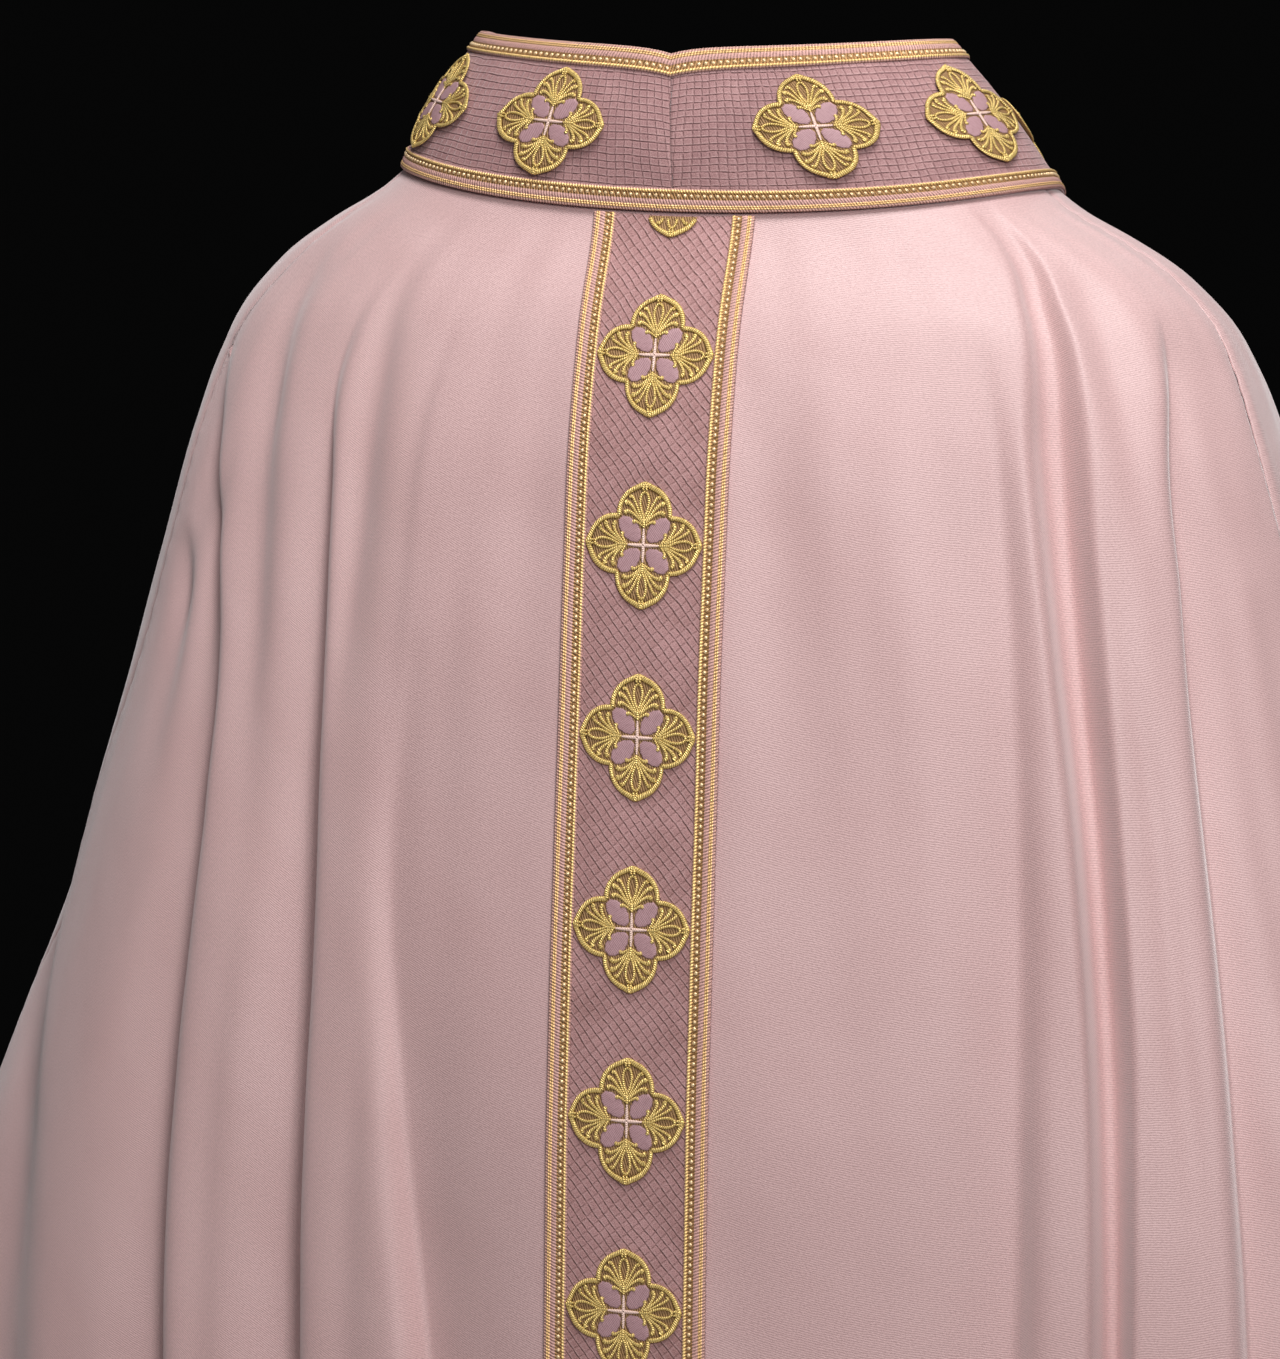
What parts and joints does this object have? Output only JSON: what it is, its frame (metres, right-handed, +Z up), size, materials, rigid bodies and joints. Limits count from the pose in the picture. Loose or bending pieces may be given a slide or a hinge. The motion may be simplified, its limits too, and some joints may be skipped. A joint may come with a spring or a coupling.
{
  "type": "chasuble",
  "caption": "Rose chasuble as worn: wide draped cloth panels, a standing velvet collar and a velvet band down the back, edged with gold braid and embroidered quatrefoils.",
  "frame": {"origin": "middle of the collar's foot, where the garment is held by the shoulders", "axes": "+Z up, +Y out of the wearer's back, +X to the wearer's left"},
  "size_m": [0.9461, 0.4231, 1.2919],
  "materials": {
    "rose_cloth": "matt fine twill",
    "rose_velvet": "velvet pressed with small squares",
    "gold_braid": "woven gold and rose thread",
    "gold_embroidery": "satin stitch in gold thread"
  },
  "bodies": {
    "root": {"body_back": "rose_cloth", "body_front": "rose_cloth", "collar_left": "rose_velvet", "collar_right": "rose_velvet", "orphrey_band": "rose_velvet", "collar_braid_top": "gold_braid", "collar_braid_foot": "gold_braid", "orphrey_braid_left": "gold_braid", "orphrey_braid_right": "gold_braid", "collar_motif_1": "gold_embroidery", "collar_motif_2": "gold_embroidery", "collar_motif_3": "gold_embroidery", "collar_motif_4": "gold_embroidery", "collar_motif_5": "gold_embroidery", "collar_motif_6": "gold_embroidery", "collar_motif_7": "gold_embroidery", "collar_motif_8": "gold_embroidery", "orphrey_motif_1": "gold_embroidery", "orphrey_motif_2": "gold_embroidery", "orphrey_motif_3": "gold_embroidery", "orphrey_motif_4": "gold_embroidery", "orphrey_motif_5": "gold_embroidery", "orphrey_motif_6": "gold_embroidery", "orphrey_motif_7": "gold_embroidery", "orphrey_motif_8": "gold_embroidery", "orphrey_motif_9": "gold_embroidery", "orphrey_motif_10": "gold_embroidery", "orphrey_motif_11": "gold_embroidery", "orphrey_motif_12": "gold_embroidery", "orphrey_motif_13": "gold_embroidery"}
  },
  "joints": []
}
